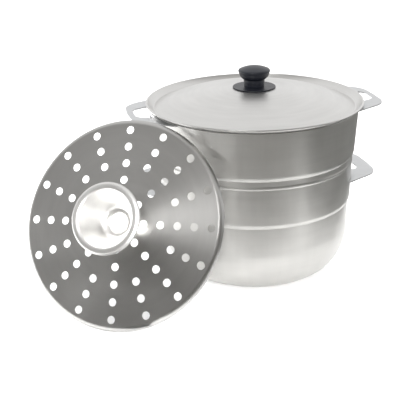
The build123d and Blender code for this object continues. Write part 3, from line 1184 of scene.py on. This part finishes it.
@dataclass
class SteamingPlate:
    """The perforated plate, a shallow spun cone that leans on the pot, drawn by its upper surface."""

    shell: PotShell
    gauge: float = 1.2
    wall_gap: float = 0.8
    lip_depth: float = 6.5
    lip_width: float = 3.6
    lip_fillet: float = 7.0
    shoulder_height: float = 0.5
    pad_height: float = 9.5
    pad_radius: float = 27.0
    rise_power: float = 1.5
    rise_steps: int = 24
    centre_hole_radius: float = 17.5
    edge: float = 0.5
    hole_radius: float = 6.2
    hole_sides: int = 28
    ray_count: int = 16
    outer_hole_inset: float = 17.3
    hole_pitch: float = 26.3
    long_ray_holes: int = 5
    short_ray_holes: int = 3
    turn: float = 4.7
    lean: float = 29.7
    heading: float = 22.2
    centre: tuple[float, float, float] = (-213.0465, -174.8185, 144.634)
    segments: int = 256

    @property
    def radius(self) -> float:
        """Outer radius, which clears the wall above the upper ledge, in millimetres."""
        return self.shell.middle_band_radius + self.shell.ring_step - self.shell.gauge - self.wall_gap

    def loop(self) -> list[Point]:
        """Section of the plate, from its lip in to the middle hole, rising ever more on the way."""
        start = self.radius - self.lip_width
        climb = self.pad_height - self.shoulder_height
        rise = []
        for step in range(1, self.rise_steps + 1):
            share = step / self.rise_steps
            radius = start + (self.pad_radius - start) * share
            rise.append((radius, self.shoulder_height + climb * share**self.rise_power, 0))
        upper = rounded(
            [
                (self.radius, -self.lip_depth, 0),
                (start, self.shoulder_height, self.lip_fillet),
                *rise,
                (self.centre_hole_radius, self.pad_height, 0),
            ],
            6.0,
        )
        return sheet_loop(upper, self.gauge, self.edge)

    def perforation_tree(self) -> bpy.types.NodeTree:
        """Tree that punches every ring of steam holes through the plate."""
        names = ("Outer ring", "Pitch", "Hole radius", "Depth", "Turn")
        tree, given = new_tree("perforations", {name: "NodeSocketFloat" for name in names})
        facing = add_node(tree, "ShaderNodeCombineXYZ", {"Z": given.outputs["Turn"]})
        drill = add_node(
            tree, "GeometryNodeMeshCylinder",
            {
                "Vertices": self.hole_sides,
                "Radius": given.outputs["Hole radius"],
                "Depth": given.outputs["Depth"],
            },
        )
        punches = add_node(tree, "GeometryNodeJoinGeometry")
        for step in range(self.long_ray_holes):
            count = self.ray_count if step < self.short_ray_holes else self.ray_count // 2
            inset = add_maths(tree, "MULTIPLY", given.outputs["Pitch"], float(step))
            ring = add_maths(tree, "SUBTRACT", given.outputs["Outer ring"], inset)
            circle = add_node(tree, "GeometryNodeMeshCircle", {"Vertices": count, "Radius": ring})
            laid = add_node(tree, "GeometryNodeTransform", {"Geometry": circle.outputs[0]})
            tree.links.new(facing.outputs[0], laid.inputs["Rotation"])
            copies = add_node(
                tree, "GeometryNodeInstanceOnPoints",
                {"Points": laid.outputs[0], "Instance": drill.outputs[0]},
            )
            tree.links.new(copies.outputs[0], punches.inputs[0])
        real = add_node(tree, "GeometryNodeRealizeInstances", {"Geometry": punches.outputs[0]})
        cut = add_node(tree, "GeometryNodeMeshBoolean", operation="DIFFERENCE", solver="EXACT")
        tree.links.new(given.outputs["Geometry"], cut.inputs["Mesh 1"])
        tree.links.new(real.outputs[0], cut.inputs["Mesh 2"])
        whole = add_node(tree, "GeometryNodeRealizeInstances", {"Geometry": cut.outputs[0]})
        dressed = add_node(
            tree, "GeometryNodeSetMaterial",
            {"Geometry": whole.outputs[0], "Material": PLATE_METAL.material()},
        )
        add_node(tree, "NodeGroupOutput", {"Geometry": dressed.outputs[0]})
        return tree

    def stand(self, mesh: bpy.types.Mesh) -> None:
        """Stand a turned mesh where the plate leans, with its lathe marks.

        Args:
            mesh: Mesh in the plate's own frame, with its marks stored.
        """
        lean, heading = math.radians(self.lean), math.radians(self.heading)
        facing = Vector(
            (-math.sin(heading) * math.cos(lean), -math.cos(heading) * math.cos(lean), math.sin(lean))
        )
        level = Vector((math.cos(heading), -math.sin(heading), 0))
        turn = Matrix((level, facing.cross(level), facing)).transposed()
        for item in mesh.attributes["around"].data:
            item.vector = turn @ Vector(item.vector)
        matrix = turn.to_4x4()
        matrix.translation = Vector(self.centre) * MM
        mesh.transform(matrix)

    def build(self) -> None:
        """Build, punch, stand and dress the plate."""
        mesh = turned_mesh("steaming_plate", self.loop(), self.segments)
        plate = make_piece("steaming_plate", mesh, PLATE_METAL)
        values = {
            "Outer ring": (self.radius - self.outer_hole_inset) * MM,
            "Pitch": self.hole_pitch * MM,
            "Hole radius": self.hole_radius * MM,
            "Depth": 4 * self.pad_height * MM,
            "Turn": math.radians(self.turn),
        }
        apply_tree(plate, self.perforation_tree(), values)
        finish_mesh(plate.data)
        mark_turning(plate.data)
        self.stand(plate.data)
        place(plate, Body.PLATE, "plate_aluminium", "steamer_plate")


@dataclass
class Funnel:
    """The flared funnel in the plate's middle, its neck clinched under the plate."""

    plate: SteamingPlate
    gauge: float = 1.0
    height: float = 50.0
    rim_radius: float = 54.5
    mouth_radius: float = 43.4
    rim_drop: float = 6.0
    rim_fillet: float = 5.0
    throat_radius: float = 24.0
    throat_fillet: float = 9.0
    neck_radius: float = 15.5
    neck_fillet: float = 2.0
    clinch_width: float = 4.0
    edge: float = 0.4
    segments: int = 192

    def loop(self) -> list[Point]:
        """Section of the funnel, from its rolled rim in and down to the clinch."""
        foot = self.plate.pad_height + self.gauge
        top = self.plate.pad_height + self.height
        clinch = self.plate.pad_height - self.plate.gauge - self.gauge
        inner = rounded(
            [
                (self.rim_radius, top - self.rim_drop, 0),
                (self.rim_radius, top, self.rim_fillet),
                (self.mouth_radius, top, self.rim_fillet),
                (self.throat_radius, foot, self.throat_fillet),
                (self.neck_radius, foot, self.neck_fillet),
                (self.neck_radius, clinch, self.neck_fillet),
                (self.neck_radius + self.clinch_width, clinch, 0),
            ],
            8.0,
        )
        return sheet_loop(inner, self.gauge, self.edge)

    def build(self) -> bpy.types.Object:
        """Build, stand and dress the funnel, and return it."""
        mesh = turned_mesh("plate_funnel_spun", self.loop(), self.segments)
        mark_turning(mesh)
        self.plate.stand(mesh)
        piece = make_piece("plate_funnel_spun", mesh, FUNNEL_METAL_PALED_FOR_GLARE)
        place(piece, Body.PLATE, "plate_aluminium", "plate_funnel")
        return piece


class Reach(Enum):
    """What a soft box lights."""

    MATT = "the matt surfaces, with no mirror image in the metal"
    ALL = "everything, with its mirror image"
    FUNNEL = "the funnel alone"


@dataclass(frozen=True)
class Lamp:
    """One soft box of the studio."""

    name: str
    spot: tuple[float, float, float]
    aim: tuple[float, float, float]
    size: tuple[float, float]
    power: float
    reach: Reach = Reach.MATT


@dataclass(frozen=True)
class Flag:
    """One dark card laid out of view, which only the metal mirrors. Its sizes are in metres."""

    name: str
    corners: tuple[Point, ...]
    level: float
    tone: str

    def places(self) -> list[tuple[float, float, float]]:
        """Corners of the card at its level above the floor."""
        return [(x, y, self.level) for x, y in self.corners]


@dataclass
class Studio:
    """Camera, floor, soft boxes, flags and surroundings."""

    camera_spot: tuple[float, float, float] = (-0.09239, -1.4334, 0.6747)
    pitch: float = 0.3743
    roll: float = -0.022
    focal_pixels: float = 900.0
    picture_pixels: float = 400.0
    sensor: float = 36.0
    floor_half_width: float = 7.0
    floor_near: float = -7.0
    floor_far: float = 9.0
    lamps: tuple[Lamp, ...] = (
        Lamp("overhead", (0.2, 0.4, 2.6), (0.0, 0.0, 0.0), (3.4, 3.4), 70.0),
        Lamp("front_fill", (0.4, -2.8, 1.2), (0.0, 0.0, 0.0), (2.4, 1.0), 150.0),
        Lamp("left_fill", (-2.6, 0.8, 1.4), (-0.1, 0.0, 0.0), (1.6, 1.6), 80.0),
        Lamp("glare_box", (-0.62, -1.84, 1.62), (-0.2, -0.2, 0.15), (0.6, 0.6), 6.0, Reach.ALL),
        Lamp("funnel_box", (0.79, -1.79, 0.78), (-0.2, -0.2, 0.15), (1.0, 1.0), 160.0, Reach.FUNNEL),
    )
    flags: tuple[Flag, ...] = (
        Flag("near_flag", ((-0.16, -0.33), (0.60, -0.33), (0.60, -0.86), (-0.36, -0.86)), 0.002, "62615f"),
        Flag("left_flag", ((-3.0, -0.50), (-0.20, -0.50), (-0.35, -0.86), (-3.0, -0.86)), 0.0015, "7a7977"),
        # Painted shade: this dark card at the plate's foot is mirrored by the metal as the shadowed floor
        # there
        Flag("plate_foot_shade_flag", ((-0.37, -0.42), (-0.19, -0.40), (-0.17, -0.27), (-0.37, -0.26)), 0.004, "4a4a49"),
        Flag("far_flag", ((-3.0, -0.85), (3.0, -0.85), (3.0, -4.0), (-3.0, -4.0)), 0.001, "62615f"),
        Flag("right_flag", ((0.32, -0.86), (3.0, -0.86), (3.0, 1.5), (0.32, 1.5)), 0.003, "5a5a58"),
    )
    front_low_tone: str = "6c6b69"
    front_high_tone: str = "c4c3c1"
    low_edge: float = 0.30
    high_edge: float = 0.75
    back_tone: str = "ffffff"
    front_edge: float = -0.45
    back_edge: float = 0.15

    def set_camera(self) -> None:
        """Set the camera that was fitted to the photograph."""
        data = bpy.data.cameras.new("camera")
        data.sensor_width = self.sensor
        data.lens = self.focal_pixels / self.picture_pixels * self.sensor
        camera = bpy.data.objects.new("camera", data)
        bpy.context.scene.collection.objects.link(camera)
        ahead = Vector((0, math.cos(self.pitch), -math.sin(self.pitch)))
        right = Vector((1, 0, 0))
        up = right.cross(ahead)
        turned_right = right * math.cos(self.roll) + up * math.sin(self.roll)
        turned_up = up * math.cos(self.roll) - right * math.sin(self.roll)
        matrix = Matrix((turned_right, turned_up, -ahead)).transposed().to_4x4()
        matrix.translation = Vector(self.camera_spot)
        camera.matrix_world = matrix
        bpy.context.scene.camera = camera

    def lay_card(
        self, name: str, corners: Sequence[tuple[float, float, float]], finish: Finish
    ) -> bpy.types.Object:
        """Lay one flat card.

        Args:
            name: Name of the card.
            corners: Its corners in metres.
            finish: Finish that dresses it.

        Returns:
            The card.
        """
        mesh = bpy.data.meshes.new(name)
        mesh.from_pydata(corners, [], [tuple(range(len(corners)))])
        card = make_piece(name, mesh, finish)
        return card

    def set_floor(self) -> None:
        """Lay the pale floor and the flags."""
        wide, near, far = self.floor_half_width, self.floor_near, self.floor_far
        corners = [(-wide, near, 0.0), (wide, near, 0.0), (wide, far, 0.0), (-wide, far, 0.0)]
        self.lay_card("floor", corners, StudioPaper("studio_paper"))
        for flag in self.flags:
            card = self.lay_card(flag.name, flag.places(), StudioPaper(f"{flag.name}_card", flag.tone))
            card.visible_camera = False
            card.visible_diffuse = False
            card.visible_shadow = False

    def set_lamps(self, funnel: bpy.types.Object) -> None:
        """Hang the soft boxes.

        Args:
            funnel: The funnel, which one of them lights alone.
        """
        for lamp in self.lamps:
            data = bpy.data.lights.new(lamp.name, "AREA")
            data.shape = "RECTANGLE"
            data.size, data.size_y = lamp.size
            data.energy = lamp.power
            box = bpy.data.objects.new(lamp.name, data)
            box.location = lamp.spot
            aim = Vector(lamp.aim) - Vector(lamp.spot)
            box.rotation_euler = aim.to_track_quat("-Z", "Y").to_euler()
            box.visible_glossy = lamp.reach is not Reach.MATT
            bpy.context.scene.collection.objects.link(box)
            if lamp.reach is Reach.FUNNEL:
                lit = bpy.data.collections.new(f"{lamp.name}_lit")
                lit.objects.link(funnel)
                box.light_linking.receiver_collection = lit

    def set_surround(self) -> None:
        """Set the surroundings that the metal mirrors, white behind and grey in front."""
        world = bpy.data.worlds.new("studio")
        world.use_nodes = True
        tree = world.node_tree
        tree.nodes.clear()
        look = add_node(tree, "ShaderNodeTexCoord")
        way = add_node(tree, "ShaderNodeSeparateXYZ", {0: look.outputs["Generated"]})
        height = add_node(
            tree, "ShaderNodeMapRange", {0: way.outputs["Z"], 1: self.low_edge, 2: self.high_edge},
            interpolation_type="SMOOTHSTEP",
        )
        depth = add_node(
            tree, "ShaderNodeMapRange", {0: way.outputs["Y"], 1: self.front_edge, 2: self.back_edge},
            interpolation_type="SMOOTHSTEP",
        )
        front = add_node(
            tree, "ShaderNodeMix",
            {0: height.outputs[0], 6: linear(self.front_low_tone), 7: linear(self.front_high_tone)},
            data_type="RGBA",
        )
        tone = add_node(
            tree, "ShaderNodeMix",
            {0: depth.outputs[0], 6: front.outputs[2], 7: linear(self.back_tone)},
            data_type="RGBA",
        )
        glow = add_node(tree, "ShaderNodeBackground", {"Color": tone.outputs[2], "Strength": 1.0})
        add_node(tree, "ShaderNodeOutputWorld", {"Surface": glow.outputs[0]})
        bpy.context.scene.world = world
        bpy.context.scene.view_settings.view_transform = "Standard"

    def build(self, funnel: bpy.types.Object) -> None:
        """Set up the whole studio.

        Args:
            funnel: The funnel, which one soft box lights alone.
        """
        self.set_camera()
        self.set_floor()
        self.set_lamps(funnel)
        self.set_surround()


def main() -> None:
    """Build every piece in order."""
    logging.basicConfig(level=logging.INFO, format="%(name)s %(message)s")
    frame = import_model()
    shell = PotShell()
    lid = Lid(shell)
    shell.build()
    Ears(shell).build()
    lid.build()
    Knob(lid).build(frame["nodes"])
    plate = SteamingPlate(shell)
    plate.build()
    Studio().build(Funnel(plate).build())


if __name__ == "__main__":
    main()
